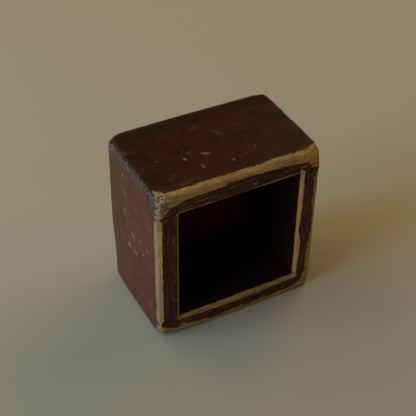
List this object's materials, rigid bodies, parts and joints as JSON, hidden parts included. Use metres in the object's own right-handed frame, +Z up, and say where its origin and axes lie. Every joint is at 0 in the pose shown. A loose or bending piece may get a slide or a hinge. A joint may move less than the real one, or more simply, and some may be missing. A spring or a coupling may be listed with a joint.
{
  "type": "small open wooden box",
  "caption": "Small square open-fronted wooden toy box with finger-jointed walls, a solid nailed back panel and worn dark red-brown paint.",
  "frame": {"origin": "centre of the box's footprint, on the surface it stands on", "axes": "+Z up, +Y from the open front to the back panel, +X to the right seen from the open front"},
  "size_m": [0.075, 0.05, 0.075],
  "materials": {
    "painted_long_wall": "dark red-brown paint, worn to bare pale wood along the front edges, satin",
    "painted_side_wall": "dark red-brown paint, worn to bare pale wood along the front edges, satin",
    "painted_panel": "dark red-brown paint over wood, satin, lightly scuffed",
    "steel_brads": "plain steel, dulled, painted over at the heads"
  },
  "bodies": {
    "root": {"top_board": "painted_long_wall", "bottom_board": "painted_long_wall", "left_board": "painted_side_wall", "right_board": "painted_side_wall", "back_panel": "painted_panel", "panel_brads": "steel_brads"}
  },
  "joints": []
}
